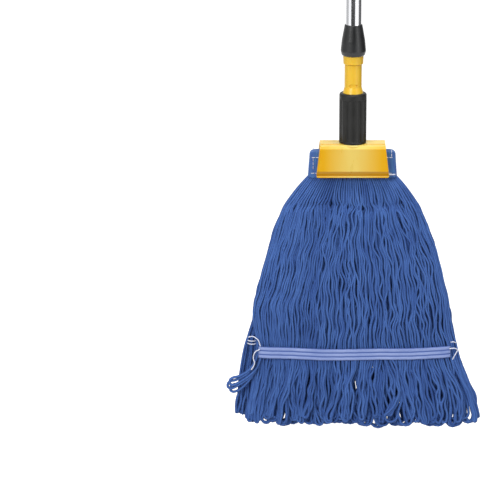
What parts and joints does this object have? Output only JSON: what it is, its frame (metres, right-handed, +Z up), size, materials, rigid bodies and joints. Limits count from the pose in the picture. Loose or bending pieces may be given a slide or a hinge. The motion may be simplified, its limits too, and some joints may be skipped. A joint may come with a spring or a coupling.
{
  "type": "string mop",
  "caption": "String mop on a long steel pole: looped yarn head held by a headband in a screw-down jaw clamp.",
  "frame": {"origin": "inner top of the hanging loop, on the pole's axis, where a hook carries the mop", "axes": "+Z up the pole, -Y the front, +X to the right as seen from the front"},
  "size_m": [0.3802, 0.048, 1.8735],
  "materials": {
    "tube_steel": "bright polished steel tube",
    "black_plastic": "smooth black",
    "cap_plastic": "glossy black",
    "grip_plastic": "satin dark grey",
    "nut_plastic": "satin black",
    "sleeve_plastic": "satin black with moulded flutes",
    "inner_plastic": "moulded",
    "ring_plastic": "natural nylon",
    "stem_plastic": "yellow, satin gloss",
    "jaw_plastic": "yellow, satin gloss",
    "pin_steel": "plain steel wire",
    "headband_fabric": "woven blue tape with pale stitching",
    "yarn": "looped four-ply yarn",
    "tail_tape": "striped blue and lavender tape"
  },
  "bodies": {
    "handle": {"hanging_cap": "cap_plastic", "grip_sleeve": "grip_plastic", "upper_tube": "tube_steel", "upper_joint_sleeve": "black_plastic", "upper_joint_socket": "inner_plastic", "upper_joint_plug": "inner_plastic", "middle_tube": "tube_steel", "lower_joint_sleeve": "black_plastic", "lower_joint_socket": "inner_plastic", "lower_joint_plug": "inner_plastic", "lower_tube": "tube_steel", "clamp_stem": "stem_plastic", "front_jaw_pin": "pin_steel", "rear_jaw_pin": "pin_steel", "front_jaw_spring": "pin_steel", "rear_jaw_spring": "pin_steel", "headband": "headband_fabric", "yarn_root": "yarn"},
    "lock_ring": {"collet_ring": "ring_plastic"},
    "lock_nut": {"pole_lock_nut": "nut_plastic"},
    "press_ring": {"thrust_ring": "ring_plastic"},
    "sleeve": {"clamp_sleeve": "sleeve_plastic"},
    "front_jaw": {"front_jaw": "jaw_plastic"},
    "rear_jaw": {"rear_jaw": "jaw_plastic"},
    "front_fringe": {"front_yarn": "yarn", "front_tail_band": "tail_tape"},
    "rear_fringe": {"rear_yarn": "yarn", "rear_tail_band": "tail_tape"}
  },
  "joints": [
    {"name": "sleeve_travel", "type": "slide", "parent": "handle", "child": "press_ring", "axis": [0, 0, 1], "range_m": [0, 0.004]},
    {"name": "sleeve_turn", "type": "hinge", "parent": "press_ring", "child": "sleeve", "pos_m": [0, 0, -1.392], "axis": [0, 0, 1], "range_deg": [0, 360]},
    {"name": "front_jaw_open", "type": "hinge", "parent": "handle", "child": "front_jaw", "pos_m": [0, -0.0136, -1.4354], "axis": [-1, 0, 0], "range_deg": [0, 25]},
    {"name": "rear_jaw_open", "type": "hinge", "parent": "handle", "child": "rear_jaw", "pos_m": [0, 0.0136, -1.4354], "axis": [1, 0, 0], "range_deg": [0, 25]},
    {"name": "lock_nut_travel", "type": "slide", "parent": "handle", "child": "lock_ring", "axis": [0, 0, 1], "range_m": [0, 0.003]},
    {"name": "lock_nut_turn", "type": "hinge", "parent": "lock_ring", "child": "lock_nut", "pos_m": [0, 0, -1.268], "axis": [0, 0, 1], "range_deg": [0, 360]},
    {"name": "front_yarn_swing", "type": "hinge", "parent": "handle", "child": "front_fringe", "pos_m": [0, -0.00805, -1.494], "axis": [-1, 0, 0], "range_deg": [0, 70]},
    {"name": "rear_yarn_swing", "type": "hinge", "parent": "handle", "child": "rear_fringe", "pos_m": [0, 0.00805, -1.494], "axis": [1, 0, 0], "range_deg": [0, 70]}
  ],
  "couplings": [
    {"joint": "sleeve_travel", "follows": "sleeve_turn", "m_per_rad": 0.00063662},
    {"joint": "front_jaw_open", "follows": "sleeve_turn", "ratio": 0.069444},
    {"joint": "rear_jaw_open", "follows": "sleeve_turn", "ratio": 0.069444},
    {"joint": "lock_nut_travel", "follows": "lock_nut_turn", "m_per_rad": 0.00047746}
  ]
}
